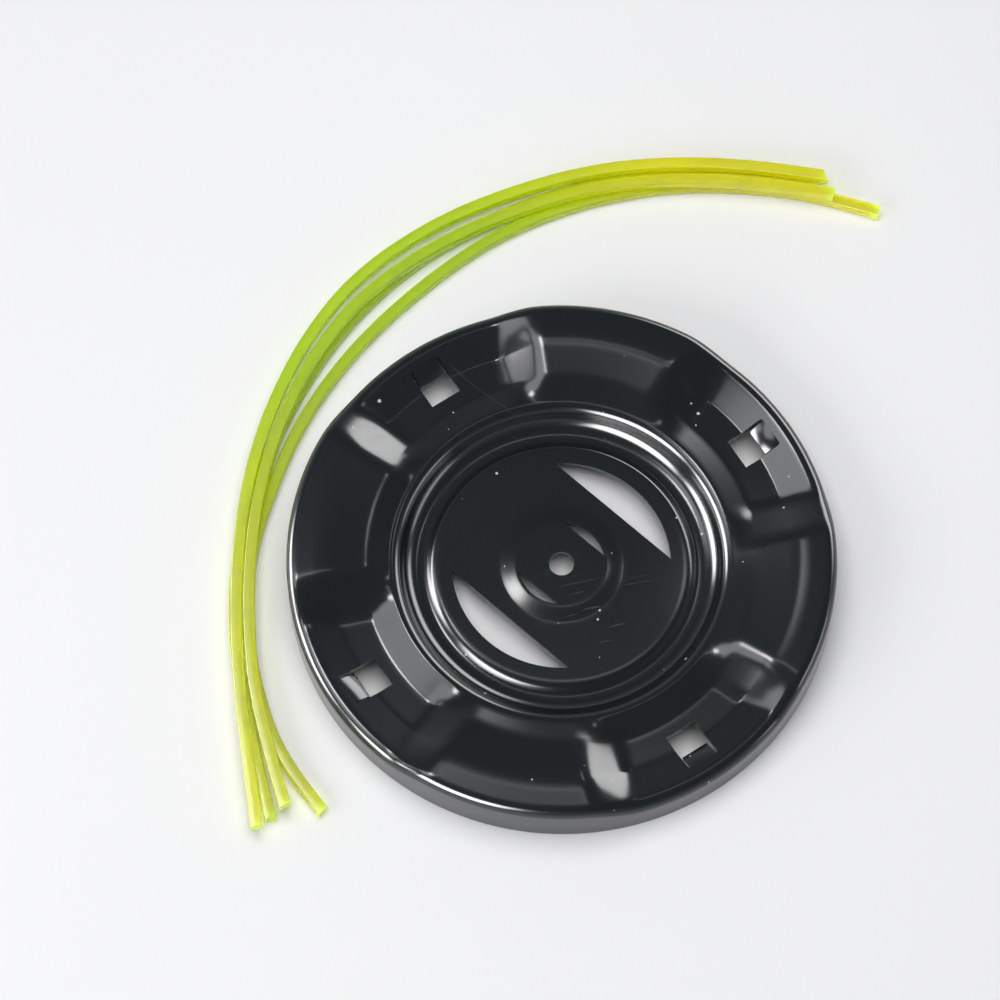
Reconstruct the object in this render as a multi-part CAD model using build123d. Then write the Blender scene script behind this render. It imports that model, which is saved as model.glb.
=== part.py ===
"""String trimmer line set: a pressed steel line disc and four cut lengths of square nylon line.

Frame: millimetres, +Z up, origin at the bore's centre in the underside of the hub plate.
The four rim windows lie on the diagonals of X and Y. Heights are named from the plane the
disc's skirt and the lower lines lie on, and every node is lowered by the seat's height at the end.
"""
import math
import os

from build123d import *

SHEET = 1.2
RIM_RADIUS = 70.0
RIM_CORNER_Z = 11.6
RIM_BEND = 3.0

HUB_FLOOR_Z = 6.5
HUB_FLOOR_RADIUS = 32.5
BOSS_RISE = 0.6
BOSS_RADIUS = 11.5
BOSS_FOOT_RADIUS = 15.0
SEAT_Z = HUB_FLOOR_Z + BOSS_RISE - SHEET

GROOVE_DEPTH = 1.2
GROOVE_SLOPE_RUN = 2.0
GROOVE_INNER_RADIUS = HUB_FLOOR_RADIUS + GROOVE_SLOPE_RUN
GROOVE_WIDTH = 2.5
GROOVE_OUTER_RADIUS = GROOVE_INNER_RADIUS + GROOVE_WIDTH

HUB_WALL_RUN = 5.8
RIDGE_RADIUS = GROOVE_OUTER_RADIUS + HUB_WALL_RUN
RIDGE_Z = 10.4
CREST_INSET = 9.5
CREST_RADIUS = RIM_RADIUS - CREST_INSET
CREST_Z = 14.4
CREST_BEND = 5.0
PAD_FOOT_RADIUS = RIDGE_RADIUS - 1.8
PAD_FOOT_Z = RIDGE_Z - 2.4
PAD_RIDGE_RADIUS = RIDGE_RADIUS + 0.8
PAD_RIDGE_Z = RIDGE_Z + 0.6
PAD_SHOULDER_RADIUS = PAD_RIDGE_RADIUS + 3.9
PAD_SHOULDER_Z = PAD_RIDGE_Z + 1.2
PAD_RIM_INSET = 0.4
PAD_OUTER_RADIUS = RIM_RADIUS - PAD_RIM_INSET
PAD_OUTER_Z = RIM_CORNER_Z + 1.4
PAD_BASE_Z = 4.0
PAD_END_BEND = 1.5
PAD_SHOULDER_BEND = 4.0

POCKET_COUNT = 4
POCKET_FIRST_ANGLE = 45.0
POCKET_HALF_ANGLE = 22.5
POCKET_Z = 8.4
POCKET_SLOPE_RUN = 5.2
POCKET_INNER_RADIUS = RIDGE_RADIUS + POCKET_SLOPE_RUN
RIM_LEDGE = 0.9
POCKET_RIM_RADIUS = RIM_RADIUS - RIM_BEND - RIM_LEDGE
BAND_RUN = 7.5
POCKET_OUTER_RADIUS = POCKET_RIM_RADIUS - BAND_RUN
FLANK_SLOPE = 30.0
FLANK_SHOULDER_SLOPE = 15.0
FLANK_SHOULDER_SHIFT = 3.2

BORE_DIAMETER = 6.4
HUB_TURN = 15.0
D_EDGE = 4.5
D_ARC_RADIUS = HUB_FLOOR_RADIUS - D_EDGE
D_CHORD = 19.8
SLOT_ARC_RADIUS = 11.1
SLOT_CHORD = 8.9

WINDOW_EDGE = 1.5
WINDOW_OUTER_RADIUS = POCKET_RIM_RADIUS - WINDOW_EDGE
WINDOW_LENGTH = 10.6
WINDOW_INNER_RADIUS = WINDOW_OUTER_RADIUS - WINDOW_LENGTH
TAB_RUN = 4.3
WINDOW_WIDTH = 8.5
TAB_GAP = 0.5
TAB_BEND = 9.0
TAB_ROOT = 0.5
TAB_DROP = 0.2

LINE_SIZE = 3.0
LOWER_LAYER_Z = LINE_SIZE / 2
UPPER_LAYER_Z = LINE_SIZE + LINE_SIZE / 2
FILLET_SHARE = 0.45

LINE_ROUTES = {
    "cut_line_1": (UPPER_LAYER_Z, [
        (117.0, 52.7), (101.0, 52.2), (78.5, 49.0), (56.0, 42.2), (34.0, 30.0), (16.5, 16.6), (1.4, -0.8),
        (-7.5, -20.0), (-12.5, -41.5), (-13.8, -62.0), (-12.0, -82.5), (-7.5, -104.0), (-1.0, -125.5), (9.5, -154.0),
    ]),
    "cut_line_2": (LOWER_LAYER_Z, [
        (114.5, 51.6), (100.0, 51.0), (78.5, 47.2), (57.0, 40.0), (36.5, 27.2), (19.5, 12.6), (6.5, -4.0),
        (-2.5, -21.5), (-8.5, -42.0), (-11.6, -62.0), (-12.3, -82.5), (-8.5, -104.5), (0.5, -126.5), (12.0, -150.5),
    ]),
    "cut_line_3": (UPPER_LAYER_Z, [
        (119.5, 48.0), (101.0, 47.6), (79.0, 44.2), (57.5, 37.6), (37.0, 25.6), (20.0, 12.4), (5.4, -4.0),
        (-3.2, -20.8), (-8.8, -41.5), (-10.5, -62.0), (-8.8, -82.5), (-4.2, -104.0), (3.5, -126.0), (15.3, -147.2),
    ]),
    "cut_line_4": (LOWER_LAYER_Z, [
        (132.0, 46.6), (116.0, 48.4), (98.0, 47.4), (77.0, 43.4), (55.5, 34.4), (36.5, 21.4), (22.2, 6.0),
        (10.8, -10.0), (2.0, -26.0), (-4.5, -44.0), (-7.6, -62.0), (-9.0, -82.0), (-5.5, -101.5), (1.8, -119.5),
        (12.0, -135.5), (24.7, -145.8),
    ]),
}


def inset_bends(bends: list, inset: float) -> list:
    """Bends of a profile moved inwards, to the right of its run, by an inset."""
    points = [Vector(r, z) for r, z, _ in bends]
    runs = [(after - before).normalized() for before, after in zip(points, points[1:])]
    normals = [Vector(run.Y, -run.X) for run in runs]
    moved = [points[0] + normals[0] * inset]
    radii = [0.0]
    for index, (before, after) in enumerate(zip(normals, normals[1:]), start=1):
        moved.append(points[index] + (before + after) * (inset / (1 + before.dot(after))))
        hollow = 1 if before.cross(after).Z > 0 else -1
        radii.append(bends[index][2] + hollow * inset)
    moved.append(points[-1] + normals[-1] * inset)
    radii.append(0.0)
    return [(point.X, point.Y, radius) for point, radius in zip(moved, radii)]


def profile_face(bends: list, inset: float) -> Face:
    """Half section of the solid under a run of bends, moved inwards by an inset."""
    placed = inset_bends(bends, inset)
    points = [(r, z) for r, z, _ in placed]
    top = FilletPolyline(*points, radius=[radius for _, _, radius in placed[1:-1]])
    foot = min(points[0][1], points[-1][1])
    corners = [points[-1], (points[-1][0], foot), (points[0][0], foot), points[0]]
    outline = [corner for index, corner in enumerate(corners) if index == 0 or corner != corners[index - 1]]
    return make_face([*top.edges(), *Polyline(*outline).edges()])


def hub_bends() -> list:
    """Radius, height and bend radius of the hub, from the axis to the ridge round it."""
    return [
        (0.0, HUB_FLOOR_Z + BOSS_RISE, 0.0),
        (BOSS_RADIUS, HUB_FLOOR_Z + BOSS_RISE, 4.0),
        (BOSS_FOOT_RADIUS, HUB_FLOOR_Z, 4.0),
        (HUB_FLOOR_RADIUS, HUB_FLOOR_Z, 1.6),
        (GROOVE_INNER_RADIUS, HUB_FLOOR_Z - GROOVE_DEPTH, 1.6),
        (GROOVE_OUTER_RADIUS, HUB_FLOOR_Z - GROOVE_DEPTH, 1.8),
    ]


def rim_bends(foot: float) -> list:
    """Radius, height and bend radius of the rim corner and the foot of the skirt."""
    return [(RIM_RADIUS, RIM_CORNER_Z, RIM_BEND), (RIM_RADIUS, foot, 0.0)]


def pad_bends() -> list:
    """Profile of a raised sector, from inside the hub's wall to inside the rim's bend."""
    return [
        (PAD_FOOT_RADIUS, PAD_BASE_Z, 0.0),
        (PAD_FOOT_RADIUS, PAD_FOOT_Z, PAD_END_BEND),
        (PAD_RIDGE_RADIUS, PAD_RIDGE_Z, PAD_END_BEND),
        (PAD_SHOULDER_RADIUS, PAD_SHOULDER_Z, PAD_SHOULDER_BEND),
        (CREST_RADIUS, CREST_Z, CREST_BEND),
        (PAD_OUTER_RADIUS, PAD_OUTER_Z, RIM_BEND),
        (PAD_OUTER_RADIUS, PAD_BASE_Z, 0.0),
    ]


def pocket_bends(foot: float) -> list:
    """Profile through the sectors that hold the windows."""
    ring = [
        (RIDGE_RADIUS, RIDGE_Z, 1.8),
        (POCKET_INNER_RADIUS, POCKET_Z, 3.0),
        (POCKET_OUTER_RADIUS, POCKET_Z, 2.0),
        (POCKET_RIM_RADIUS, RIM_CORNER_Z, 1.6),
    ]
    return hub_bends() + ring + rim_bends(foot)


def flank_space(angle: float, side: int, slope: float, shift: float) -> Solid:
    """Half space on the raised side of one sloping flank between two sectors."""
    size = 4 * RIM_RADIUS
    block = Pos(0, side * size / 2, 0) * Box(size, size, size)
    level = (POCKET_Z + CREST_Z) / 2
    return Rot(0, 0, angle) * Pos(0, -side * shift, level) * Rot(-side * (90 - slope), 0, 0) * block


def raised_pad(index: int, inset: float) -> Part:
    """Wedge with sloping flanks that bounds one raised sector."""
    step = 360 / POCKET_COUNT
    first = POCKET_FIRST_ANGLE + index * step + POCKET_HALF_ANGLE
    last = POCKET_FIRST_ANGLE + (index + 1) * step - POCKET_HALF_ANGLE
    pad = Rot(0, 0, (first + last) / 2) * Pos(RIM_RADIUS, 0, 0) * Box(2 * RIM_RADIUS, 4 * RIM_RADIUS, 60)
    for slope, shoulder in ((FLANK_SLOPE, 0.0), (FLANK_SHOULDER_SLOPE, FLANK_SHOULDER_SHIFT)):
        shift = shoulder - inset / math.sin(math.radians(slope))
        pad &= flank_space(first, 1, slope, shift)
        pad &= flank_space(last, -1, slope, shift)
    return pad


def pressed_body(inset: float) -> Part:
    """Solid under the pressed shape, moved inwards by an inset."""
    low = revolve(Plane.XZ * profile_face(pocket_bends(-2 * inset), inset), Axis.Z)
    high = revolve(Plane.XZ * profile_face(pad_bends(), inset), Axis.Z)
    for index in range(POCKET_COUNT):
        low += high & raised_pad(index, inset)
    return low


def segment_window(arc_radius: float, chord: float) -> Sketch:
    """Circle segment beyond a chord, on the +X side."""
    return Circle(arc_radius) & (Pos(chord + arc_radius, 0) * Rectangle(2 * arc_radius, 2 * arc_radius))


def window_tab() -> Part:
    """Tab lanced from the outer wall of a pocket, hinged at the outer edge of its window."""
    rise = RIM_CORNER_Z - POCKET_Z
    run = POCKET_RIM_RADIUS - POCKET_OUTER_RADIUS
    slope = math.degrees(math.atan2(rise, run))
    hinge_z = POCKET_Z + (WINDOW_OUTER_RADIUS - POCKET_OUTER_RADIUS) * rise / run - TAB_DROP
    length = TAB_RUN / math.cos(math.radians(slope + TAB_BEND))
    plate = Pos((TAB_ROOT - length) / 2, 0, -SHEET / 2) * Box(length + TAB_ROOT, WINDOW_WIDTH - 2 * TAB_GAP, SHEET)
    return Pos(WINDOW_OUTER_RADIUS, 0, hinge_z) * Rot(0, -slope - TAB_BEND, 0) * plate


def line_disc() -> Part:
    """Pressed disc with its bore, hub windows and rim windows."""
    disc = pressed_body(0.0) - pressed_body(SHEET)
    cuts = Sketch() + Circle(BORE_DIAMETER / 2)
    for turn in (HUB_TURN, HUB_TURN + 180):
        spin = Rot(0, 0, POCKET_FIRST_ANGLE + turn)
        cuts += spin * segment_window(D_ARC_RADIUS, D_CHORD)
        cuts += spin * segment_window(SLOT_ARC_RADIUS, SLOT_CHORD)
    disc -= extrude(cuts, CREST_Z)
    middle = (WINDOW_OUTER_RADIUS + WINDOW_INNER_RADIUS) / 2
    opening = Pos(middle, 0, CREST_Z / 2) * Box(WINDOW_LENGTH, WINDOW_WIDTH, CREST_Z)
    for index in range(POCKET_COUNT):
        spin = Rot(0, 0, POCKET_FIRST_ANGLE + index * 360 / POCKET_COUNT)
        disc -= spin * opening
        disc += spin * window_tab()
    return disc


def route_path(points: list, height: float) -> Wire:
    """Straight runs joined by tangent arcs at one height, round points set from the disc's upper left."""
    corners = [Vector(x - RIM_RADIUS, y + RIM_RADIUS, height) for x, y in points]
    radii = []
    for before, corner, after in zip(corners, corners[1:], corners[2:]):
        turn = math.radians((corner - before).get_angle(after - corner))
        shorter = min((corner - before).length, (after - corner).length)
        radii.append(FILLET_SHARE * shorter / math.tan(turn / 2))
    return FilletPolyline(*corners, radius=radii).wire()


def cut_line(points: list, height: float) -> Part:
    """One cut length of square line along its route."""
    path = route_path(points, height)
    section = Plane(origin=path @ 0, x_dir=(0, 0, 1), z_dir=path % 0) * Rectangle(LINE_SIZE, LINE_SIZE)
    return sweep(section, path=path)


def main() -> None:
    """Build each node, lower it to the seat's origin and write it to its own file."""
    os.makedirs("parts", exist_ok=True)
    nodes = {"line_disc": line_disc()}
    for name, (height, points) in LINE_ROUTES.items():
        nodes[name] = cut_line(points, height)
    for name, node in nodes.items():
        export_step(Pos(0, 0, -SEAT_Z) * node, f"parts/{name}.step")


if __name__ == "__main__":
    main()
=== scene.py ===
"""Looks of a string trimmer line set: a pressed black line disc and four square nylon lines.

Sizes are in millimetres in the classes and turned to metres when a mesh is made. Heights in the
classes are above the floor that the disc's skirt stands on, as on a drawing of the set.
"""
import logging
import math
from dataclasses import dataclass, field
from enum import Enum

import bmesh
import bpy
from mathutils import Matrix, Vector

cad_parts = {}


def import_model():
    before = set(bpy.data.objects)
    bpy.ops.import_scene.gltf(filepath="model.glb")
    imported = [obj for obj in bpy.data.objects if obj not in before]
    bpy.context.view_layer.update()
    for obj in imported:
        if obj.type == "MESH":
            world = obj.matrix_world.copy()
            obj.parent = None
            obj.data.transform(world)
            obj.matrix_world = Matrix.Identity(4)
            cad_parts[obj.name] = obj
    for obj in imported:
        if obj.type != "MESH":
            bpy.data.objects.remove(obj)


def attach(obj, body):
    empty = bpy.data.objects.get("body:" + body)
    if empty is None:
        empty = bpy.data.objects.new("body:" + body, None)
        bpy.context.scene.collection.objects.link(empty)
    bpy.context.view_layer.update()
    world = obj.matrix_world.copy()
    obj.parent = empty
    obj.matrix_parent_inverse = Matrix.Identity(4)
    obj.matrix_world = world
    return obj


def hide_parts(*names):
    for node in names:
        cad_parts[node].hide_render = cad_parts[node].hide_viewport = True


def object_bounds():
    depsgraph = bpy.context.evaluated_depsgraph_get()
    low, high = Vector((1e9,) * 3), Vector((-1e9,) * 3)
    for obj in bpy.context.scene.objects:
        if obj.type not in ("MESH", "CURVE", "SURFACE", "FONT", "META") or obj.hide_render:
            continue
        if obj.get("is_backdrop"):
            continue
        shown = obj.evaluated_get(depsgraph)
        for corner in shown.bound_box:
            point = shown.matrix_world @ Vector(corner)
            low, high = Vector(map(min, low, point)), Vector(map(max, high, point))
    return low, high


MM = 0.001
LOG = logging.getLogger("trimmer_line_set")


class Layer(Enum):
    """Layer of the bundle that a line lies in, as the height of its middle above the floor."""

    FLOOR = 1.5
    TOP = 4.5


class LightRole(Enum):
    """What a soft panel is there for."""

    MIRRORED = "shows in glossy faces"
    LIGHTING = "lights floor and lines"


class Slot(Enum):
    """Material slots of the record."""

    PAINT = "disc_paint"
    NYLON = "line_nylon"


def add_object(name: str, data: object) -> bpy.types.Object:
    """Put a mesh, curve, light or camera into the scene as an object of its own name.

    Args:
        name: Name of the object.
        data: What the object shows.

    Returns:
        The new object at the origin.
    """
    made = bpy.data.objects.new(name, data)
    bpy.context.scene.collection.objects.link(made)
    return made


def settle_build(build: bmesh.types.BMesh, name: str) -> bpy.types.Object:
    """Turn a mesh under construction into an object, and free it."""
    mesh = bpy.data.meshes.new(name)
    build.to_mesh(mesh)
    build.free()
    return add_object(name, mesh)


def add_math(tree: bpy.types.NodeTree, operation: str, *values: object) -> bpy.types.NodeSocket:
    """Add a math node.

    Args:
        tree: Tree that the node goes into.
        operation: Blender's name of the operation.
        values: Sockets or numbers for its inputs.

    Returns:
        The node's result socket.
    """
    node = tree.nodes.new("ShaderNodeMath")
    node.operation = operation
    for socket, value in zip(node.inputs, values):
        if isinstance(value, bpy.types.NodeSocket):
            tree.links.new(value, socket)
        else:
            socket.default_value = value
    return node.outputs[0]


@dataclass(frozen=True)
class Bend:
    """Corner of a pressed profile.

    Args:
        radius: Distance from the disc's axis.
        height: Height above the floor.
        bend: Bend radius of the sheet's upper face.
    """

    radius: float
    height: float
    bend: float = 0.0


class PressedProfile:
    """Run of straight walls joined by bends, as a section through the pressed sheet."""

    def __init__(self, bends: list[Bend], arc_step: float = 7.0) -> None:
        """Lay out the section.

        Args:
            bends: Corners from the axis outwards.
            arc_step: Largest turn between two points of a bend, in degrees.
        """
        self.points = self._rounded(bends, math.radians(arc_step))

    @staticmethod
    def _rounded(bends: list[Bend], arc_step: float) -> list[tuple[float, float]]:
        """Points of the section with every corner rounded to its bend.

        Args:
            bends: Corners from the axis outwards.
            arc_step: Largest turn between two points, in radians.

        Returns:
            Radius and height of each point.
        """
        corners = [Vector((b.radius, b.height)) for b in bends]
        points = [tuple(corners[0])]
        for before, corner, after, bend in zip(corners, corners[1:], corners[2:], bends[1:]):
            entry = (before - corner).normalized()
            leave = (after - corner).normalized()
            turn = math.pi - entry.angle(leave)
            reach = bend.bend * math.tan(turn / 2)
            steps = max(2, math.ceil(turn / arc_step))
            middle = corner + (entry + leave).normalized() * (bend.bend / math.cos(turn / 2))
            start = corner + entry * reach - middle
            side = 1 if entry.cross(leave) < 0 else -1
            for step in range(steps + 1):
                spin = Matrix.Rotation(side * turn * step / steps, 2)
                points.append(tuple(middle + spin @ start))
        points.append(tuple(corners[-1]))
        return points

    def height_at(self, radius: float) -> float:
        """Height of the upper face at a distance from the axis."""
        for (r0, z0), (r1, z1) in zip(self.points, self.points[1:]):
            if r0 <= radius <= r1 and r1 > r0:
                return z0 + (z1 - z0) * (radius - r0) / (r1 - r0)
        return self.points[-1][1]

    def radii(self) -> list[float]:
        """Distances from the axis at which the section has points."""
        return [r for r, _ in self.points]


class ShaderGroups:
    """Node groups for effects that more than one finish uses."""

    @staticmethod
    def _start(name: str, inputs: dict[str, float], outputs: tuple[str, ...]) -> bpy.types.NodeTree:
        """Make an empty group with a vector input, number inputs and number outputs.

        Args:
            name: Name of the group.
            inputs: Number inputs with their defaults.
            outputs: Names of the number outputs.

        Returns:
            The new group with its input and output nodes.
        """
        tree = bpy.data.node_groups.new(name, "ShaderNodeTree")
        tree.interface.new_socket("Vector", in_out="INPUT", socket_type="NodeSocketVector")
        for label, value in inputs.items():
            socket = tree.interface.new_socket(label, in_out="INPUT", socket_type="NodeSocketFloat")
            socket.default_value = value
        for label in outputs:
            tree.interface.new_socket(label, in_out="OUTPUT", socket_type="NodeSocketFloat")
        tree.nodes.new("NodeGroupInput").name = "in"
        tree.nodes.new("NodeGroupOutput").name = "out"
        return tree

    def dust(self) -> bpy.types.NodeTree:
        """Scattered specks of dust of mixed size.

        Returns:
            Group with a Mask output.
        """
        tree = self._start("dust_specks", {"Scale": 120.0, "Size": 0.12, "Share": 0.12}, ("Mask",))
        source, target = tree.nodes["in"], tree.nodes["out"]
        cells = tree.nodes.new("ShaderNodeTexVoronoi")
        cells.feature = "F1"
        tree.links.new(source.outputs["Vector"], cells.inputs["Vector"])
        tree.links.new(source.outputs["Scale"], cells.inputs["Scale"])
        split = tree.nodes.new("ShaderNodeSeparateColor")
        tree.links.new(cells.outputs["Color"], split.inputs["Color"])
        size = add_math(tree, "MULTIPLY", source.outputs["Size"], split.outputs["Green"])
        inside = add_math(tree, "LESS_THAN", cells.outputs["Distance"], size)
        kept = add_math(tree, "LESS_THAN", split.outputs["Red"], source.outputs["Share"])
        tree.links.new(add_math(tree, "MULTIPLY", inside, kept), target.inputs["Mask"])
        return tree

    def scratches(self) -> bpy.types.NodeTree:
        """Fine hair scratches that run mostly one way.

        Returns:
            Group with a Mask output.
        """
        values = {"Scale": 40.0, "Stretch": 14.0, "Cut": 0.66, "Sharpness": 14.0}
        tree = self._start("hair_scratches", values, ("Mask",))
        source, target = tree.nodes["in"], tree.nodes["out"]
        shape = tree.nodes.new("ShaderNodeCombineXYZ")
        shape.inputs["Y"].default_value = 1.0
        shape.inputs["Z"].default_value = 1.0
        tree.links.new(source.outputs["Stretch"], shape.inputs["X"])
        squeeze = tree.nodes.new("ShaderNodeVectorMath")
        squeeze.operation = "MULTIPLY"
        tree.links.new(source.outputs["Vector"], squeeze.inputs[0])
        tree.links.new(shape.outputs[0], squeeze.inputs[1])
        hair = tree.nodes.new("ShaderNodeTexNoise")
        hair.inputs["Detail"].default_value = 3.0
        hair.inputs["Distortion"].default_value = 0.6
        tree.links.new(squeeze.outputs[0], hair.inputs["Vector"])
        tree.links.new(source.outputs["Scale"], hair.inputs["Scale"])
        above = add_math(tree, "SUBTRACT", hair.outputs["Fac"], source.outputs["Cut"])
        sharp = add_math(tree, "MULTIPLY", above, source.outputs["Sharpness"])
        clamp = tree.nodes.new("ShaderNodeClamp")
        tree.links.new(sharp, clamp.inputs["Value"])
        tree.links.new(clamp.outputs[0], target.inputs["Mask"])
        return tree

    def ripple(self) -> bpy.types.NodeTree:
        """Low ripple of a sprayed or drawn surface.

        Returns:
            Group with a Height output for fine relief and a Cloud output for slow changes.
        """
        tree = self._start("surface_ripple", {"Scale": 500.0, "Cloud": 30.0}, ("Height", "Cloud"))
        source, target = tree.nodes["in"], tree.nodes["out"]
        for scale, result in (("Scale", "Height"), ("Cloud", "Cloud")):
            noise = tree.nodes.new("ShaderNodeTexNoise")
            noise.inputs["Detail"].default_value = 2.0
            tree.links.new(source.outputs["Vector"], noise.inputs["Vector"])
            tree.links.new(source.outputs[scale], noise.inputs["Scale"])
            tree.links.new(noise.outputs["Fac"], target.inputs[result])
        return tree


@dataclass
class EffectSet:
    """The shared effects, built once for all finishes."""

    dust: bpy.types.NodeTree
    scratches: bpy.types.NodeTree
    ripple: bpy.types.NodeTree

    @classmethod
    def build(cls) -> "EffectSet":
        """Build every shared effect."""
        groups = ShaderGroups()
        return cls(groups.dust(), groups.scratches(), groups.ripple())


class MaterialGraph:
    """Small helper around one material's node tree."""

    def __init__(self, name: str) -> None:
        """Start a material with its shader.

        Args:
            name: Name of the material.
        """
        self.material = bpy.data.materials.new(name)
        self.material.use_nodes = True
        self.tree = self.material.node_tree
        self.shader = self.tree.nodes["Principled BSDF"]
        self.coords = self.tree.nodes.new("ShaderNodeTexCoord").outputs["Object"]

    def effect(self, group: bpy.types.NodeTree, vector: bpy.types.NodeSocket | None = None,
               **values: float) -> bpy.types.Node:
        """Place a shared effect.

        Args:
            group: Effect to place.
            vector: Coordinates it reads, the object's own if left out.
            values: Values of its inputs.

        Returns:
            The group's node.
        """
        node = self.tree.nodes.new("ShaderNodeGroup")
        node.node_tree = group
        self.tree.links.new(vector or self.coords, node.inputs["Vector"])
        for label, value in values.items():
            node.inputs[label].default_value = value
        return node

    def math(self, operation: str, *values: object) -> bpy.types.NodeSocket:
        """Add a math node and give its result socket."""
        return add_math(self.tree, operation, *values)

    def mix(self, factor: object, first: object, second: object) -> bpy.types.NodeSocket:
        """Mix two colours.

        Args:
            factor: Socket or number for the share of the second colour.
            first: Socket or colour.
            second: Socket or colour.

        Returns:
            Socket with the mixed colour.
        """
        node = self.tree.nodes.new("ShaderNodeMix")
        node.data_type = "RGBA"
        for socket, value in ((node.inputs[0], factor), (node.inputs[6], first), (node.inputs[7], second)):
            if isinstance(value, bpy.types.NodeSocket):
                self.tree.links.new(value, socket)
            elif socket.type == "RGBA":
                socket.default_value = (*value, 1.0)
            else:
                socket.default_value = value
        return node.outputs[2]

    def near(self, place: tuple[float, float, float], reach: float, core: float = 0.35) -> bpy.types.NodeSocket:
        """Mask that fades from one in a place's core to nought at a reach from it.

        Args:
            place: Place on the piece, in metres.
            reach: Distance at which the mask ends, in metres.
            core: Share of the reach that is fully masked.

        Returns:
            Socket with the mask.
        """
        offset = self.tree.nodes.new("ShaderNodeVectorMath")
        offset.operation = "DISTANCE"
        self.tree.links.new(self.coords, offset.inputs[0])
        offset.inputs[1].default_value = place
        fade = self.tree.nodes.new("ShaderNodeMapRange")
        fade.inputs["From Min"].default_value = reach
        fade.inputs["From Max"].default_value = core * reach
        self.tree.links.new(offset.outputs["Value"], fade.inputs["Value"])
        return fade.outputs["Result"]

    def turned(self, angle: float) -> bpy.types.NodeSocket:
        """Object coordinates turned about the disc's axis by an angle in degrees."""
        node = self.tree.nodes.new("ShaderNodeMapping")
        node.inputs["Rotation"].default_value = (0.0, 0.0, math.radians(angle))
        self.tree.links.new(self.coords, node.inputs["Vector"])
        return node.outputs["Vector"]

    def bump(self, height: bpy.types.NodeSocket, strength: float, distance: float) -> None:
        """Feed a height to the shader's normal.

        Args:
            height: Socket with the height.
            strength: Strength of the relief.
            distance: Depth of the relief, in metres.
        """
        node = self.tree.nodes.new("ShaderNodeBump")
        node.inputs["Strength"].default_value = strength
        node.inputs["Distance"].default_value = distance
        self.tree.links.new(height, node.inputs["Height"])
        self.tree.links.new(node.outputs["Normal"], self.shader.inputs["Normal"])

    def attribute(self, name: str) -> bpy.types.NodeSocket:
        """Number that the piece's mesh keeps at each point under a name."""
        node = self.tree.nodes.new("ShaderNodeAttribute")
        node.attribute_name = name
        return node.outputs["Fac"]

    def feed(self, socket: str, value: bpy.types.NodeSocket) -> None:
        """Link a result to one of the shader's inputs."""
        self.tree.links.new(value, self.shader.inputs[socket])

    def set_values(self, values: dict[str, float]) -> None:
        """Give plain values to some of the shader's inputs."""
        for socket, value in values.items():
            self.shader.inputs[socket].default_value = value


@dataclass(frozen=True)
class GlossBlackPaint:
    """Gloss black stoved paint on pressed steel, with dust and handling marks."""

    black: tuple[float, float, float] = (0.0070, 0.0098, 0.0112)
    dust_grey: tuple[float, float, float] = (0.42, 0.42, 0.41)
    scratch_grey: tuple[float, float, float] = (0.11, 0.11, 0.11)
    mark_place: tuple[float, float, float] = (0.010, -0.007, 0.001)
    mark_reach: float = 0.020
    mark_share: float = 0.25
    stray_share: float = 0.2
    roughness: float = 0.13
    cloud_roughness: float = 0.05
    scratch_roughness: float = 0.28
    dust_roughness: float = 0.6
    ripple_share: float = 0.35
    relief: float = 0.06
    relief_depth: float = 0.00004
    refraction: float = 1.52
    coat: float = 0.2
    coat_roughness: float = 0.13

    def material(self, effects: EffectSet) -> bpy.types.Material:
        """Build the finish.

        Args:
            effects: Shared effects.

        Returns:
            The paint's material.
        """
        graph = MaterialGraph("gloss_black_paint")
        ripple = graph.effect(effects.ripple, Scale=420.0, Cloud=28.0)
        fine = graph.effect(effects.dust, Scale=420.0, Size=0.20, Share=0.06).outputs["Mask"]
        coarse = graph.effect(effects.dust, Scale=120.0, Size=0.055, Share=0.10).outputs["Mask"]
        specks = graph.math("MAXIMUM", fine, coarse)
        rubbed = graph.near(self.mark_place, self.mark_reach)
        swirl = graph.effect(effects.scratches, graph.turned(66.0), Scale=70.0, Stretch=20.0, Cut=0.64)
        stray = graph.effect(effects.scratches, graph.turned(-62.0), Scale=30.0, Stretch=18.0, Cut=0.72)
        marks = graph.math("MULTIPLY", graph.math("MULTIPLY", swirl.outputs["Mask"], rubbed), self.mark_share)
        strays = graph.math("MULTIPLY", stray.outputs["Mask"], self.stray_share)
        lines = graph.math("MAXIMUM", marks, strays)
        worn = graph.mix(lines, self.black, self.scratch_grey)
        graph.feed("Base Color", graph.mix(specks, worn, self.dust_grey))
        cloud = graph.math("MULTIPLY", ripple.outputs["Cloud"], self.cloud_roughness)
        rough = graph.math("ADD", cloud, self.roughness)
        rough = graph.math("ADD", rough, graph.math("MULTIPLY", lines, self.scratch_roughness))
        rough = graph.math("ADD", rough, graph.math("MULTIPLY", specks, self.dust_roughness))
        graph.feed("Roughness", rough)
        height = graph.math("ADD", graph.math("MULTIPLY", ripple.outputs["Height"], self.ripple_share), specks)
        graph.bump(height, self.relief, self.relief_depth)
        graph.set_values({"IOR": self.refraction, "Coat Weight": self.coat,
                          "Coat Roughness": self.coat_roughness})
        return graph.material


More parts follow.
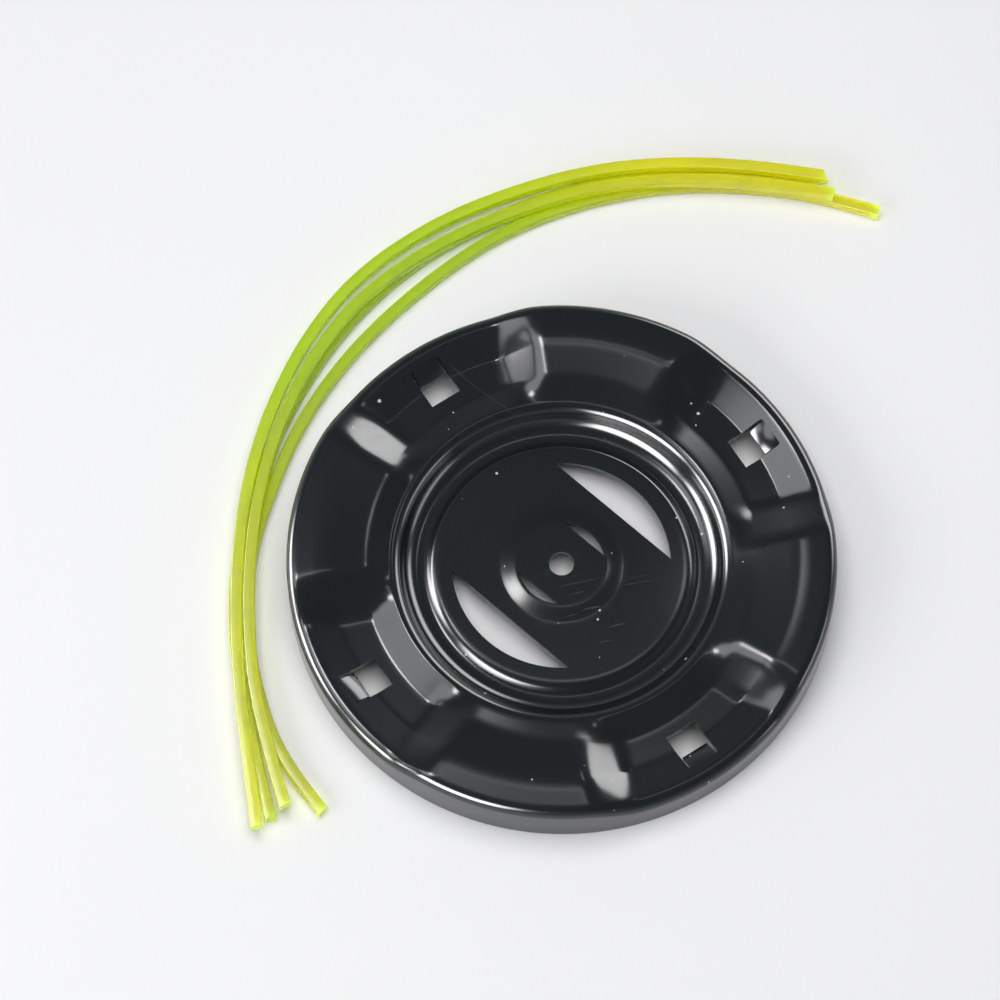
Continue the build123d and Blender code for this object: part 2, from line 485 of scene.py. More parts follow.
@dataclass(frozen=True)
class FluorescentNylon:
    """Clear nylon line dyed fluorescent yellow-green, with a painted glow at its cut ends: the colour turns to
    a pale lime there, and the whole line gives off a faint painted glow though it is no lamp.

    The dye turns from yellow to lime and back along a line: lime_along pairs a share of the line's
    length with the share of lime there.
    """

    yellow: tuple[float, float, float] = (0.80, 0.76, 0.010)
    lime: tuple[float, float, float] = (0.44, 0.68, 0.008)
    deep: tuple[float, float, float] = (0.46, 0.48, 0.004)
    # Colour of the painted glow towards the cut ends.
    end_glow: tuple[float, float, float] = (0.76, 0.92, 0.07)
    lime_along: tuple[tuple[float, float], ...] = (
        (0.14, 0.0), (0.36, 0.9), (0.58, 0.9), (0.76, 0.35), (0.95, 0.25))
    streak_share: float = 0.55
    roughness: float = 0.14
    cloud_roughness: float = 0.16
    dust_roughness: float = 0.4
    relief: float = 0.12
    relief_depth: float = 0.00006
    refraction: float = 1.53
    clearness: float = 0.5
    # Strength of the faint painted glow that the whole line gives off, though it is no lamp.
    glow: float = 0.05

    def _lime_share(self, graph: MaterialGraph) -> bpy.types.NodeSocket:
        """Colour ramp that gives the share of lime along a line."""
        along = graph.attribute("along")
        ramp = graph.tree.nodes.new("ShaderNodeValToRGB")
        stops = ramp.color_ramp.elements
        first, *middle, last = self.lime_along
        for stop, (place, share) in zip((stops[0], stops[1]), (first, last)):
            stop.position, stop.color = place, (share, share, share, 1.0)
        for place, share in middle:
            stops.new(place).color = (share, share, share, 1.0)
        graph.tree.links.new(along, ramp.inputs["Fac"])
        return ramp.outputs["Color"]

    def material(self, effects: EffectSet) -> bpy.types.Material:
        """Build the finish.

        Args:
            effects: Shared effects.

        Returns:
            The nylon's material.
        """
        graph = MaterialGraph("fluorescent_nylon")
        dye = graph.mix(self._lime_share(graph), self.yellow, self.lime)
        ripple = graph.effect(effects.ripple, Scale=240.0, Cloud=45.0)
        dye = graph.mix(graph.math("MULTIPLY", ripple.outputs["Cloud"], self.streak_share), dye, self.deep)
        # Painted glow: towards the cut ends the colour turns to end_glow, and the line gives off this colour as
        # a faint emission, though it is no lamp.
        colour = graph.mix(graph.attribute("end_glow_share"), dye, self.end_glow)
        graph.feed("Base Color", colour)
        graph.feed("Emission Color", colour)
        specks = graph.effect(effects.dust, Scale=300.0, Size=0.10, Share=0.02).outputs["Mask"]
        cloud = graph.math("MULTIPLY", ripple.outputs["Cloud"], self.cloud_roughness)
        rough = graph.math("ADD", cloud, self.roughness)
        graph.feed("Roughness", graph.math("ADD", rough, graph.math("MULTIPLY", specks, self.dust_roughness)))
        graph.bump(ripple.outputs["Height"], self.relief, self.relief_depth)
        # Emission Strength gives the whole line a faint painted glow.
        graph.set_values({"IOR": self.refraction, "Transmission Weight": self.clearness,
                          "Emission Strength": self.glow})
        return graph.material


@dataclass(frozen=True)
class PaleFloor:
    """Smooth pale studio floor."""

    white: tuple[float, float, float] = (0.80, 0.80, 0.80)
    shade: tuple[float, float, float] = (0.76, 0.76, 0.77)
    roughness: float = 0.7
    sheen: float = 0.2

    def material(self, effects: EffectSet) -> bpy.types.Material:
        """Build the finish.

        Args:
            effects: Shared effects.

        Returns:
            The floor's material.
        """
        graph = MaterialGraph("pale_floor")
        cloud = graph.effect(effects.ripple, Scale=60.0, Cloud=3.0).outputs["Cloud"]
        graph.feed("Base Color", graph.mix(cloud, self.white, self.shade))
        graph.set_values({"Roughness": self.roughness, "Specular IOR Level": self.sheen})
        return graph.material


def settle(source: bpy.types.Object, name: str) -> bpy.types.Object:
    """Turn an object with modifiers into a plain mesh object at the origin.

    Args:
        source: Object with live modifiers, which is removed.
        name: Name of the settled piece.

    Returns:
        The new mesh object.
    """
    graph = bpy.context.evaluated_depsgraph_get()
    graph.update()
    mesh = bpy.data.meshes.new_from_object(source.evaluated_get(graph), depsgraph=graph)
    mesh.name = name
    settled = add_object(name, mesh)
    bpy.data.objects.remove(source)
    return settled


class NodeRecipe:
    """Geometry node tree with named inputs, which ends in real geometry with a material."""

    def __init__(self, name: str, inputs: dict[str, str]) -> None:
        """Start the tree.

        Args:
            name: Name of the tree.
            inputs: Names of its inputs with the kinds of their sockets.
        """
        self.tree = bpy.data.node_groups.new(name, "GeometryNodeTree")
        sockets = [("Geometry", "INPUT", "Geometry")]
        sockets += [(label, "INPUT", kind) for label, kind in inputs.items()]
        sockets += [("Material", "INPUT", "Material"), ("Geometry", "OUTPUT", "Geometry")]
        for label, side, kind in sockets:
            self.tree.interface.new_socket(label, in_out=side, socket_type=f"NodeSocket{kind}")
        self.given = self.tree.nodes.new("NodeGroupInput").outputs

    def node(self, kind: str, inputs: dict[str, object] | None = None, **settings: object) -> bpy.types.Node:
        """Add a node.

        Args:
            kind: Blender's name of the node.
            inputs: Sockets or values for its inputs.
            settings: Values of the node's own choices.

        Returns:
            The new node.
        """
        node = self.tree.nodes.new(kind)
        for label, value in settings.items():
            setattr(node, label, value)
        for label, value in (inputs or {}).items():
            if isinstance(value, bpy.types.NodeSocket):
                self.tree.links.new(value, node.inputs[label])
            else:
                node.inputs[label].default_value = value
        return node

    def end(self, geometry: bpy.types.NodeSocket) -> None:
        """Make a result real, give it the material and put it out."""
        real = self.node("GeometryNodeRealizeInstances", {"Geometry": geometry}).outputs[0]
        dressed = self.node("GeometryNodeSetMaterial", {"Geometry": real, "Material": self.given["Material"]})
        self.node("NodeGroupOutput", {"Geometry": dressed.outputs[0]})

    def put_on(self, target: bpy.types.Object, values: dict[str, object]) -> None:
        """Put the tree on an object as a modifier.

        Args:
            target: Object that the tree works on.
            values: Values of its named inputs.
        """
        modifier = target.modifiers.new(self.tree.name, "NODES")
        modifier.node_group = self.tree
        for item in self.tree.interface.items_tree:
            if item.in_out == "INPUT" and item.name in values:
                modifier[item.identifier] = values[item.name]


class RingPattern(NodeRecipe):
    """Geometry nodes that repeat a shape round the disc's axis."""

    def __init__(self) -> None:
        """Build the tree."""
        super().__init__("ring_pattern", {"Count": "Int", "First Angle": "Float"})
        count = self.given["Count"]
        places = self.node("GeometryNodeMeshLine", {"Offset": (0.0, 0.0, 0.0), "Count": count})
        share = add_math(self.tree, "DIVIDE", self.node("GeometryNodeInputIndex").outputs[0], count)
        angle = add_math(self.tree, "MULTIPLY_ADD", share, 2 * math.pi, self.given["First Angle"])
        spin = self.node("ShaderNodeCombineXYZ", {"Z": angle})
        copies = self.node("GeometryNodeInstanceOnPoints", {
            "Points": places.outputs["Mesh"], "Instance": self.given["Geometry"], "Rotation": spin.outputs[0]})
        self.end(copies.outputs["Instances"])

    def repeat(self, shape: bpy.types.Object, name: str, count: int, first_angle: float,
               material: bpy.types.Material) -> bpy.types.Object:
        """Repeat a shape round the axis.

        Args:
            shape: Shape at angle nought, which is removed.
            name: Name of the result.
            count: Number of copies.
            first_angle: Angle of the first copy in degrees.
            material: Material of the copies.

        Returns:
            Plain mesh object with all copies.
        """
        self.put_on(shape, {"Count": count, "First Angle": math.radians(first_angle), "Material": material})
        return settle(shape, name)


class SquareSweep(NodeRecipe):
    """Geometry nodes that sweep a square section with soft corners along a line's route."""

    def __init__(self, corner_steps: int = 4) -> None:
        """Build the tree.

        Args:
            corner_steps: Number of steps in each soft corner.
        """
        super().__init__("square_sweep", dict.fromkeys(("Size", "Corner", "Spacing", "Twist"), "Float"))
        given = self.given
        level = self.node("GeometryNodeSetCurveNormal", {"Curve": given["Geometry"]}, mode="Z_UP")
        even = self.node("GeometryNodeResampleCurve", {
            "Curve": level.outputs["Curve"], "Length": given["Spacing"]}, mode="LENGTH")
        along = self.node("GeometryNodeSplineParameter").outputs["Factor"]
        note = self.node("GeometryNodeStoreNamedAttribute", {
            "Name": "along", "Geometry": even.outputs["Curve"], "Value": along,
        }, data_type="FLOAT", domain="POINT")
        turn = add_math(self.tree, "MULTIPLY", along, given["Twist"])
        tilt = self.node("GeometryNodeSetCurveTilt", {"Curve": note.outputs["Geometry"], "Tilt": turn})
        square = self.node("GeometryNodeCurvePrimitiveQuadrilateral", {
            "Width": given["Size"], "Height": given["Size"]})
        soft = self.node("GeometryNodeFilletCurve", {
            "Count": corner_steps, "Curve": square.outputs["Curve"], "Radius": given["Corner"]}, mode="POLY")
        sweep = self.node("GeometryNodeCurveToMesh", {
            "Fill Caps": True, "Curve": tilt.outputs["Curve"], "Profile Curve": soft.outputs["Curve"]})
        self.end(sweep.outputs["Mesh"])


@dataclass
class LineDisc:
    """Pressed sheet disc that carries the lines."""

    floor: float
    sheet: float = 1.2
    rim_radius: float = 70.0
    rim_height: float = 11.2
    rim_rise: float = 3.0
    rim_bend: float = 2.6
    skirt_heights: tuple[float, ...] = (6.5, 4.5, 2.5, 0.0)
    ledge_radius: float = 66.8
    ledge_bend: float = 1.2
    bore_radius: float = 3.2
    boss_rise: float = 0.6
    boss_radius: float = 11.8
    boss_foot: float = 15.7
    boss_bend: float = 1.4
    hub_height: float = 6.5
    hub_radius: float = 32.4
    groove_depth: float = 1.4
    groove_inner: float = 34.5
    groove_outer: float = 38.9
    groove_bend: float = 0.8
    wall_foot_bend: float = 5.0
    wall_top_bend: float = 3.2
    ridge_radius: float = 42.0
    ridge_width: float = 1.9
    ridge_height: float = 10.5
    ridge_bend: float = 2.0
    shoulder_run: float = 7.6
    shoulder_rise: float = 2.2
    shoulder_bend: float = 9.0
    crest_radius: float = 60.5
    crest_height: float = 14.4
    crest_bend: float = 24.0
    pocket_height: float = 8.4
    pocket_inner: float = 50.4
    pocket_inner_bend: float = 4.0
    pocket_outer: float = 58.6
    pocket_outer_bend: float = 2.0
    pocket_count: int = 4
    pocket_angle: float = 45.0
    pocket_half: float = 22.5
    flank_width: float = 10.0
    flank_round: float = 2.2
    hub_turn: float = 15.0
    hub_pairs: int = 2
    d_arc: float = 28.0
    d_chord: float = 19.8
    d_steps: int = 48
    slot_arc: float = 11.1
    slot_chord: float = 8.9
    slot_steps: int = 28
    window_inner: float = 54.0
    window_outer: float = 64.6
    window_width: float = 8.5
    window_corner: float = 0.9
    tab_tip: float = 60.3
    tab_gap: float = 0.5
    tab_bend: float = 9.0
    tab_root: float = 0.5
    tab_drop: float = 0.2
    tab_bevel: float = 0.22
    cutter_sink: float = 5.0
    cutter_height: float = 30.0
    segments: int = 384
    rim_steps: int = 9
    corner_steps: int = 4
    ring_gap: float = 1.3
    ring_least: float = 0.2
    crease: float = 38.0

    def _hub(self) -> list[Bend]:
        """Bends from the axis to the ridge round the hub."""
        top, low = self.hub_height + self.boss_rise, self.hub_height - self.groove_depth
        return [Bend(0.0, top), Bend(self.boss_radius, top, self.boss_bend),
                Bend(self.boss_foot, self.hub_height, self.boss_bend),
                Bend(self.hub_radius, self.hub_height, self.groove_bend),
                Bend(self.groove_inner, low, self.groove_bend),
                Bend(self.groove_outer, low, self.wall_foot_bend),
                Bend(self.ridge_radius, self.ridge_height, self.wall_top_bend),
                Bend(self.ridge_radius + self.ridge_width, self.ridge_height, self.ridge_bend)]

    def pocket_profile(self) -> PressedProfile:
        """Section through a pocket that holds a window."""
        return PressedProfile(self._hub() + [
            Bend(self.pocket_inner, self.pocket_height, self.pocket_inner_bend),
            Bend(self.pocket_outer, self.pocket_height, self.pocket_outer_bend),
            Bend(self.ledge_radius, self.rim_height, self.ledge_bend),
            Bend(self.rim_radius - self.rim_bend, self.rim_height)])

    def plain_profile(self) -> PressedProfile:
        """Section through a raised sector."""
        shoulder = self.ridge_radius + self.shoulder_run, self.ridge_height + self.shoulder_rise
        return PressedProfile(self._hub() + [
            Bend(*shoulder, self.shoulder_bend),
            Bend(self.crest_radius, self.crest_height, self.crest_bend),
            Bend(self.rim_radius - self.rim_bend, self.rim_height + self.rim_rise)])

    def _rings(self, profiles: tuple[PressedProfile, ...]) -> list[float]:
        """Distances from the axis for the mesh's rings.

        Args:
            profiles: Sections whose bends need rings.

        Returns:
            Rising distances, close together in the bends.
        """
        outer = self.rim_radius - self.rim_bend
        wanted = sorted({round(r, 3) for p in profiles for r in p.radii() if self.bore_radius < r < outer})
        rings = [self.bore_radius]
        for radius in [*wanted, outer]:
            if radius - rings[-1] < self.ring_least and radius != outer:
                continue
            parts = max(1, math.ceil((radius - rings[-1]) / self.ring_gap))
            start = rings[-1]
            rings += [start + (radius - start) * step / parts for step in range(1, parts + 1)]
        return rings

    def flank_height(self, radius: float, angle: float, low: float, high: float) -> float:
        """Height of the sheet where a flank climbs from a pocket to a raised sector.

        Args:
            radius: Distance from the axis.
            angle: Angle in degrees.
            low: Height of the pocket at this radius.
            high: Height of the raised sector at this radius.

        Returns:
            Height on the pocket, on the flank or on the sector, with soft creases between them.
        """
        step = 360 / self.pocket_count
        off = abs((angle - self.pocket_angle + step / 2) % step - step / 2)
        past = radius * math.sin(math.radians(off - self.pocket_half))
        share = past / self.flank_width + 0.5
        soft = self.flank_round / self.flank_width
        if share < 0.5:
            share = max(share, 0.0) + max(soft - abs(share), 0.0) ** 2 / (4 * soft)
        else:
            share = min(share, 1.0) - max(soft - abs(share - 1.0), 0.0) ** 2 / (4 * soft)
        return low + (high - low) * share

    def _sections(self) -> list[list[tuple[float, float]]]:
        """Radius and height of every mesh point, segment by segment."""
        pocket, plain = self.pocket_profile(), self.plain_profile()
        rings = self._rings((pocket, plain))
        heights = [(r, pocket.height_at(r), plain.height_at(r)) for r in rings]
        centre = self.rim_radius - self.rim_bend
        turns = [math.pi / 2 * k / self.rim_steps for k in range(1, self.rim_steps + 1)]
        skirt = [(self.rim_radius, h) for h in self.skirt_heights]
        sections = []
        for segment in range(self.segments):
            angle = 360 * segment / self.segments
            run = [(r, self.flank_height(r, angle, low, high)) for r, low, high in heights]
            base = run[-1][1] - self.rim_bend
            rim = [(centre + self.rim_bend * math.sin(t), base + self.rim_bend * math.cos(t)) for t in turns]
            sections.append(run + rim + skirt)
        return sections

    def sheet_mesh(self) -> bpy.types.Object:
        """Upper face of the pressed sheet, before it gets its thickness.

        Returns:
            Object with the face from the bore's edge to the foot of the skirt.
        """
        sections = self._sections()
        count = len(sections[0])
        points = []
        for segment, run in enumerate(sections):
            turn = 2 * math.pi * segment / self.segments
            points += [(r * MM * math.cos(turn), r * MM * math.sin(turn), z * MM + self.floor) for r, z in run]
        faces = []
        for segment in range(self.segments):
            here, there = segment * count, (segment + 1) % self.segments * count
            faces += [(here + k, here + k + 1, there + k + 1, there + k) for k in range(count - 1)]
        mesh = bpy.data.meshes.new("pressed_sheet")
        mesh.from_pydata(points, [], faces)
        return add_object("pressed_sheet", mesh)

    def _prism(self, name: str, outlines: list[list[tuple[float, float]]]) -> bpy.types.Object:
        """Upright cutter with one or more outlines.

        Args:
            name: Name of the cutter.
            outlines: Closed outlines in millimetres.

        Returns:
            Object that reaches through the whole disc.
        """
        build = bmesh.new()
        for outline in outlines:
            base = [build.verts.new((x * MM, y * MM, self.floor - self.cutter_sink * MM)) for x, y in outline]
            face = build.faces.new(base)
            raised = bmesh.ops.extrude_face_region(build, geom=[face])["geom"]
            lift = [v for v in raised if isinstance(v, bmesh.types.BMVert)]
            bmesh.ops.translate(build, verts=lift, vec=(0, 0, self.cutter_height * MM))
        bmesh.ops.recalc_face_normals(build, faces=build.faces)
        return settle_build(build, name)

    @staticmethod
    def _segment(arc: float, chord: float, steps: int) -> list[tuple[float, float]]:
        """Outline of a circle segment beyond a chord on the +X side."""
        half = math.acos(chord / arc)
        return [(arc * math.cos(half * (2 * k / steps - 1)), arc * math.sin(half * (2 * k / steps - 1)))
                for k in range(steps + 1)]

    def _window(self) -> list[tuple[float, float]]:
        """Outline of a rim window, square inside and with soft corners outside."""
        half, soft = self.window_width / 2, self.window_corner
        outline = [(self.window_inner, -half)]
        for side, start in ((-1, -math.pi / 2), (1, 0.0)):
            for k in range(self.corner_steps + 1):
                turn = start + math.pi / 2 / self.corner_steps * k
                outline.append((self.window_outer - soft + soft * math.cos(turn),
                                side * (half - soft) + soft * math.sin(turn)))
        return [*outline, (self.window_inner, half)]

    def _tab(self) -> bpy.types.Object:
        """Tab of one rim window, lanced from the pocket's outer wall and pushed down."""
        rise = self.rim_height - self.pocket_height
        run = self.ledge_radius - self.pocket_outer
        slope = math.atan2(rise, run) + math.radians(self.tab_bend)
        hinge = self.pocket_height + (self.window_outer - self.pocket_outer) * rise / run - self.tab_drop
        length = (self.window_outer - self.tab_tip) / math.cos(slope)
        half = self.window_width / 2 - self.tab_gap
        build = bmesh.new()
        bmesh.ops.create_cube(build, size=1.0)
        reach = length + self.tab_root
        size = Matrix.Diagonal((reach * MM, 2 * half * MM, self.sheet * MM, 1.0))
        move = Matrix.Translation(((self.tab_root - length) / 2 * MM, 0, -self.sheet / 2 * MM))
        bmesh.ops.transform(build, matrix=move @ size, verts=build.verts)
        bmesh.ops.bevel(build, geom=list(build.edges), offset=self.tab_bevel * MM, segments=2,
                        affect="EDGES", profile=0.5)
        lean = Matrix.Rotation(-slope, 4, "Y")
        place = Matrix.Translation((self.window_outer * MM, 0, hinge * MM + self.floor))
        bmesh.ops.transform(build, matrix=place @ lean, verts=build.verts)
        return settle_build(build, "window_tab")

    def build(self, pattern: RingPattern, paint: bpy.types.Material) -> list[bpy.types.Object]:
        """Press, pierce and paint the disc.

        Args:
            pattern: Tree that repeats a shape round the axis.
            paint: Finish of the disc.

        Returns:
            The disc and its tabs.
        """
        sheet = self.sheet_mesh()
        wall = sheet.modifiers.new("sheet_thickness", "SOLIDIFY")
        wall.thickness = self.sheet * MM
        wall.offset = -1.0
        wall.use_even_offset = True
        hub = self._prism("hub_cutter", [self._segment(self.d_arc, self.d_chord, self.d_steps),
                                         self._segment(self.slot_arc, self.slot_chord, self.slot_steps)])
        hub = pattern.repeat(hub, "hub_cutters", self.hub_pairs, self.pocket_angle + self.hub_turn, paint)
        rim = self._prism("rim_cutter", [self._window()])
        rim = pattern.repeat(rim, "rim_cutters", self.pocket_count, self.pocket_angle, paint)
        for cutter in (hub, rim):
            pierce = sheet.modifiers.new(cutter.name, "BOOLEAN")
            pierce.operation = "DIFFERENCE"
            pierce.solver = "EXACT"
            pierce.object = cutter
        disc = settle(sheet, "line_disc_shell")
        bpy.data.objects.remove(hub)
        bpy.data.objects.remove(rim)
        disc.data.materials.clear()
        disc.data.materials.append(paint)
        tabs = pattern.repeat(self._tab(), "window_tabs", self.pocket_count, self.pocket_angle, paint)
        for piece in (disc, tabs):
            piece.data.shade_smooth()
            piece.data.set_sharp_from_angle(angle=math.radians(self.crease))
            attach(piece, "root")
        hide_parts("line_disc")
        return [disc, tabs]


@dataclass
class NylonLine:
    """One cut length of square nylon line."""

    name: str
    node: str
    layer: Layer
    route: list[tuple[float, float]]
    length: float
    floor: float
    twist: float = 0.0
    size: float = 3.0
    corner: float = 0.38
    spacing: float = 1.6
    end_slant: tuple[float, float] = (0.0, 0.0)
    glow_reach: float = 4.0
    tip_reach: float = 8.0
    cut_reach: float = 0.1
    route_steps: int = 24
    crease: float = 50.0

    def _curve(self) -> bpy.types.Object:
        """Smooth curve with the route's points as its control points."""
        data = bpy.data.curves.new(f"{self.name}_route", "CURVE")
        data.dimensions = "3D"
        data.resolution_u = self.route_steps
        spline = data.splines.new("NURBS")
        spline.points.add(len(self.route) - 1)
        height = self.layer.value * MM + self.floor
        for point, (x, y) in zip(spline.points, self.route):
            point.co = (x * MM, y * MM, height, 1.0)
        spline.order_u = 3
        spline.use_endpoint_u = True
        return add_object(f"{self.name}_route", data)

    @staticmethod
    def _centre_line(curve: bpy.types.Object) -> list[Vector]:
        """Points along the middle of the line."""
        graph = bpy.context.evaluated_depsgraph_get()
        mesh = bpy.data.meshes.new_from_object(curve.evaluated_get(graph), depsgraph=graph)
        points = [v.co.copy() for v in mesh.vertices]
        bpy.data.meshes.remove(mesh)
        return points

    def _cut_ends(self, piece: bpy.types.Object, path: list[Vector]) -> None:
        """Lean the cut faces and note, for each point near a cut end, its share of the painted glow there.

        Args:
            piece: Swept line.
            path: Points along its middle.
        """
        note = piece.data.attributes.new("end_glow_share", "FLOAT", "POINT")
        ends = ((path[0], path[0] - path[1], self.end_slant[0]),
                (path[-1], path[-1] - path[-2], self.end_slant[1]))
        for vertex in piece.data.vertices:
            glow = 0.0
            for end, out, slant in ends:
                out = out.normalized()
                gap = (end - vertex.co).dot(out)
                if gap > self.glow_reach * MM or (vertex.co - end).length > self.tip_reach * MM:
                    continue
                glow = max(glow, 1.0 - max(0.0, gap) / (self.glow_reach * MM))
                if gap < self.cut_reach * MM:
                    side = Vector((-out.y, out.x, 0.0)).dot(vertex.co - end)
                    vertex.co -= out * abs(slant) * (self.size / 2 * MM + math.copysign(1, slant) * side)
            note.data[vertex.index].value = glow * glow

    def build(self, sweep: SquareSweep, nylon: bpy.types.Material) -> bpy.types.Object:
        """Sweep, cut and dress the line.

        Args:
            sweep: Tree that sweeps the square section.
            nylon: Finish of the line.

        Returns:
            The line.
        """
        curve = self._curve()
        path = self._centre_line(curve)
        sweep.put_on(curve, {
            "Size": self.size * MM, "Corner": self.corner * MM, "Spacing": self.spacing * MM,
            "Twist": math.radians(self.twist), "Material": nylon})
        piece = settle(curve, self.name)
        self._cut_ends(piece, path)
        piece.data.shade_smooth()
        piece.data.set_sharp_from_angle(angle=math.radians(self.crease))
        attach(piece, "root")
        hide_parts(self.node)
        return piece


@dataclass
class LineBundle:
    """The four cut lines as they lie beside the disc."""

    floor: float
    lines: list[NylonLine] = field(init=False)

    def __post_init__(self) -> None:
        """Lay out the four lines."""
        self.lines = [
            NylonLine("trimmer_line_1", "cut_line_1", Layer.TOP, [
                (47.0, 122.7), (31.0, 122.2), (8.5, 119.0), (-14.0, 112.2), (-36.0, 100.0), (-53.5, 86.6),
                (-68.6, 69.2), (-77.5, 50.0), (-82.5, 28.5), (-83.8, 8.0), (-82.0, -12.5), (-77.5, -34.0),
                (-71.0, -55.5), (-60.5, -84.0)], 291.1, self.floor, end_slant=(0.55, 0.1)),
            NylonLine("trimmer_line_2", "cut_line_2", Layer.FLOOR, [
                (44.5, 121.6), (30.0, 121.0), (8.5, 117.2), (-13.0, 110.0), (-33.5, 97.2), (-50.5, 82.6),
                (-63.5, 66.0), (-72.5, 48.5), (-78.5, 28.0), (-81.6, 8.0), (-82.3, -12.5), (-78.5, -34.5),
                (-69.5, -56.5), (-58.0, -80.5)], 280.7, self.floor, end_slant=(0.1, -0.15)),
            NylonLine("trimmer_line_3", "cut_line_3", Layer.TOP, [
                (49.5, 118.0), (31.0, 117.6), (9.0, 114.2), (-12.5, 107.6), (-33.0, 95.6), (-50.0, 82.4),
                (-64.6, 66.0), (-73.2, 49.2), (-78.8, 28.5), (-80.5, 8.0), (-78.8, -12.5), (-74.2, -34.0),
                (-66.5, -56.0), (-54.7, -77.2)], 280.9, self.floor, end_slant=(-0.1, 0.2)),
            NylonLine("trimmer_line_4", "cut_line_4", Layer.FLOOR, [
                (62.0, 116.6), (46.0, 118.4), (28.0, 117.4), (7.0, 113.4), (-14.5, 104.4), (-33.5, 91.4),
                (-47.8, 76.0), (-59.2, 60.0), (-68.0, 44.0), (-74.5, 26.0), (-77.6, 8.0), (-79.0, -12.0),
                (-75.5, -31.5), (-68.2, -49.5), (-58.0, -65.5), (-45.3, -75.8)], 292.0, self.floor,
                end_slant=(0.12, 0.25)),
        ]

    def build(self, nylon: bpy.types.Material) -> list[bpy.types.Object]:
        """Build every line.

        Args:
            nylon: Finish of the lines.

        Returns:
            The four lines.
        """
        sweep = SquareSweep()
        return [line.build(sweep, nylon) for line in self.lines]


@dataclass(frozen=True)
class SoftPanel:
    """Soft light panel that faces the set.

    Args:
        name: Name of the light.
        azimuth: Azimuth as seen in the camera's picture, in degrees.
        elevation: Elevation in degrees.
        reach: Distance from the hub in metres.
        size: Width and height in metres.
        power: Power in watts.
        role: What the panel is there for.
    """

    name: str
    azimuth: float
    elevation: float
    reach: float
    size: tuple[float, float]
    power: float
    role: LightRole = LightRole.MIRRORED


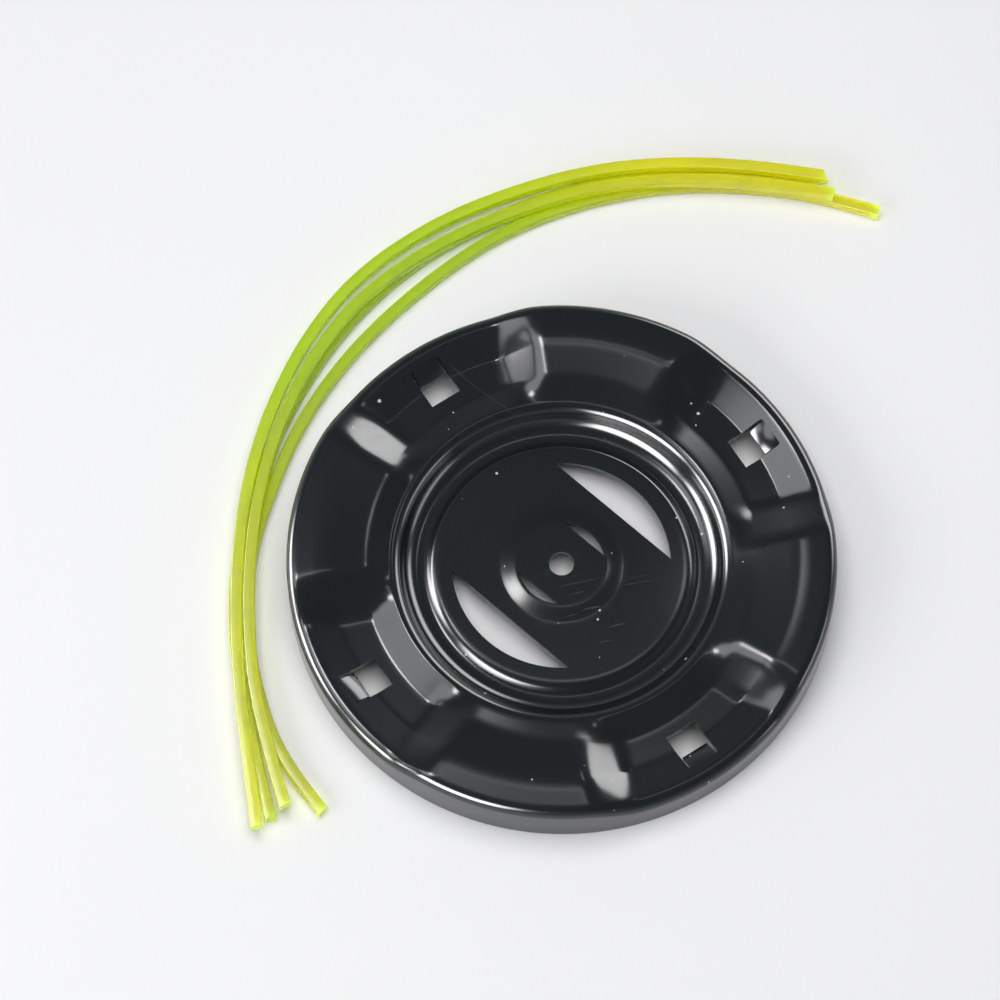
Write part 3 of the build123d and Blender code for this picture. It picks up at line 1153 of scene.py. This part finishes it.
@dataclass
class Studio:
    """Floor, soft lights and camera.

    Low panels show in the sloping flanks and walls, small high ones in the boss, the crests and a
    pocket's slope, and two wide ones light the floor and the lines without showing in the paint.
    """

    floor: float
    panels: tuple[SoftPanel, ...] = (
        SoftPanel("key_left", 174.0, 20.0, 1.0, (0.86, 0.52), 32.0),
        SoftPanel("key_front_left", 230.0, 29.0, 1.0, (0.95, 0.62), 46.0),
        SoftPanel("fill_back", 49.0, 22.0, 1.2, (1.4, 0.56), 18.0),
        SoftPanel("fill_right", 350.0, 16.0, 1.2, (0.9, 0.40), 4.0),
        SoftPanel("sky_left", 170.0, 60.0, 1.0, (0.56, 0.42), 2.5),
        SoftPanel("sky_back_left", 164.0, 39.0, 1.0, (0.30, 0.26), 0.8),
        SoftPanel("boss_lamp", 144.0, 71.0, 1.0, (0.20, 0.16), 1.9),
        SoftPanel("crest_strip", 90.0, 77.0, 1.0, (0.36, 0.05), 0.16),
        SoftPanel("crest_lamp", 53.6, 66.3, 0.26, (0.030, 0.030), 0.010),
        SoftPanel("top_soft", 100.0, 84.0, 1.0, (1.1, 1.1), 14.0, LightRole.LIGHTING),
        SoftPanel("side_soft", 215.0, 30.0, 1.1, (0.9, 0.6), 6.5, LightRole.LIGHTING),
    )
    panel_fade: float = 32.0
    horizon: tuple[float, float, float] = (0.55, 0.56, 0.57)
    horizon_rise: float = 0.10
    ceiling: tuple[float, float, float] = (0.10, 0.105, 0.11)
    ceiling_rise: float = 0.75
    turn: float = 11.8
    tilt: float = 22.0
    distance: float = 1.2
    pixels_per_mm: float = 3.92
    image_size: float = 1000.0
    hub_pixel: tuple[float, float] = (561.5, 564.5)
    hub_height: float = 6.5
    sensor: float = 36.0
    near_clip: float = 0.05
    ground_half: float = 2.5
    ground_gap: float = 0.1

    def _direction(self, azimuth: float, elevation: float) -> Vector:
        """Direction towards a place round the set, with azimuths as seen in the camera's picture."""
        flat, rise = math.radians(azimuth + self.turn), math.radians(elevation)
        return Vector((math.cos(flat) * math.cos(rise), math.sin(flat) * math.cos(rise), math.sin(rise)))

    def camera(self) -> bpy.types.Object:
        """Camera at the picture's angle and framing.

        Returns:
            The camera.
        """
        back = self._direction(-90.0, 90.0 - self.tilt)
        right = self._direction(0.0, 0.0)
        up = back.cross(right)
        hub = Vector((0.0, 0.0, self.hub_height * MM + self.floor))
        off_x = (self.image_size / 2 - self.hub_pixel[0]) / self.pixels_per_mm * MM
        off_y = (self.hub_pixel[1] - self.image_size / 2) / self.pixels_per_mm * MM
        data = bpy.data.cameras.new("camera")
        data.sensor_width = self.sensor
        data.lens = self.pixels_per_mm / MM * self.distance * self.sensor / self.image_size
        data.clip_start = self.near_clip
        camera = add_object("camera", data)
        place = Matrix((right, up, back)).transposed().to_4x4()
        place.translation = hub + right * off_x + up * off_y + back * self.distance
        camera.matrix_world = place
        bpy.context.scene.camera = camera
        return camera

    def _panel(self, panel: SoftPanel) -> None:
        """Hang one panel.

        Args:
            panel: The panel's place, size and power.
        """
        data = bpy.data.lights.new(panel.name, "AREA")
        data.shape = "RECTANGLE"
        data.size, data.size_y = panel.size
        data.energy = panel.power
        self._soft_edge(data)
        light = add_object(panel.name, data)
        away = self._direction(panel.azimuth, panel.elevation)
        light.matrix_world = away.to_track_quat("Z", "Y").to_matrix().to_4x4()
        light.location = away * panel.reach
        light.visible_glossy = panel.role is LightRole.MIRRORED
        light.visible_diffuse = panel.role is LightRole.LIGHTING

    def _soft_edge(self, data: bpy.types.Light) -> None:
        """Let a panel fade from its middle to its edges.

        Args:
            data: Light of the panel.
        """
        data.use_nodes = True
        tree = data.node_tree
        place = tree.nodes.new("ShaderNodeNewGeometry")
        split = tree.nodes.new("ShaderNodeSeparateXYZ")
        tree.links.new(place.outputs["Parametric"], split.inputs[0])
        shares = []
        for axis in ("X", "Y"):
            rest = add_math(tree, "SUBTRACT", 1.0, split.outputs[axis])
            shares.append(add_math(tree, "MULTIPLY", rest, split.outputs[axis]))
        middle = add_math(tree, "MULTIPLY", *shares)
        share = add_math(tree, "MINIMUM", add_math(tree, "MULTIPLY", middle, self.panel_fade), 1.0)
        tree.links.new(share, tree.nodes["Emission"].inputs["Strength"])

    def lights(self) -> None:
        """Hang every panel, under a sky that is pale at the horizon and dark above."""
        for panel in self.panels:
            self._panel(panel)
        world = bpy.data.worlds.new("studio")
        bpy.context.scene.world = world
        world.use_nodes = True
        tree = world.node_tree
        place = tree.nodes.new("ShaderNodeTexCoord")
        split = tree.nodes.new("ShaderNodeSeparateXYZ")
        tree.links.new(place.outputs["Generated"], split.inputs[0])
        ramp = tree.nodes.new("ShaderNodeValToRGB")
        levels = ((self.horizon_rise, self.horizon), (self.ceiling_rise, self.ceiling))
        for stop, (rise, colour) in zip(ramp.color_ramp.elements, levels):
            stop.position, stop.color = rise, (*colour, 1.0)
        tree.links.new(split.outputs["Z"], ramp.inputs["Fac"])
        tree.links.new(ramp.outputs["Color"], tree.nodes["Background"].inputs["Color"])

    def ground(self, material: bpy.types.Material) -> bpy.types.Object:
        """Pale floor under the set.

        Args:
            material: Finish of the floor.

        Returns:
            The floor.
        """
        build = bmesh.new()
        bmesh.ops.create_grid(build, x_segments=8, y_segments=8, size=self.ground_half)
        bmesh.ops.translate(build, verts=build.verts, vec=(0, 0, self.floor - self.ground_gap * MM))
        floor = settle_build(build, "floor")
        floor.data.materials.append(material)
        floor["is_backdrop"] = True
        return floor


def main() -> None:
    """Load the frame, build each sub-assembly in order and report the pieces."""
    logging.basicConfig(level=logging.INFO, format="%(name)s: %(message)s")
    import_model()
    cad_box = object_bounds()
    floor = float(cad_box[0][2])
    effects = EffectSet.build()
    paint = GlossBlackPaint().material(effects)
    nylon = FluorescentNylon().material(effects)
    studio = Studio(floor)
    studio.camera()
    studio.lights()
    studio.ground(PaleFloor().material(effects))
    pieces = LineBundle(floor).build(nylon)
    pieces += LineDisc(floor).build(RingPattern(), paint)
    for piece in pieces:
        piece.data.calc_loop_triangles()
        LOG.info("%s: %d triangles", piece.name, len(piece.data.loop_triangles))
    bpy.context.scene.view_settings.view_transform = "Standard"


if __name__ == "__main__":
    main()
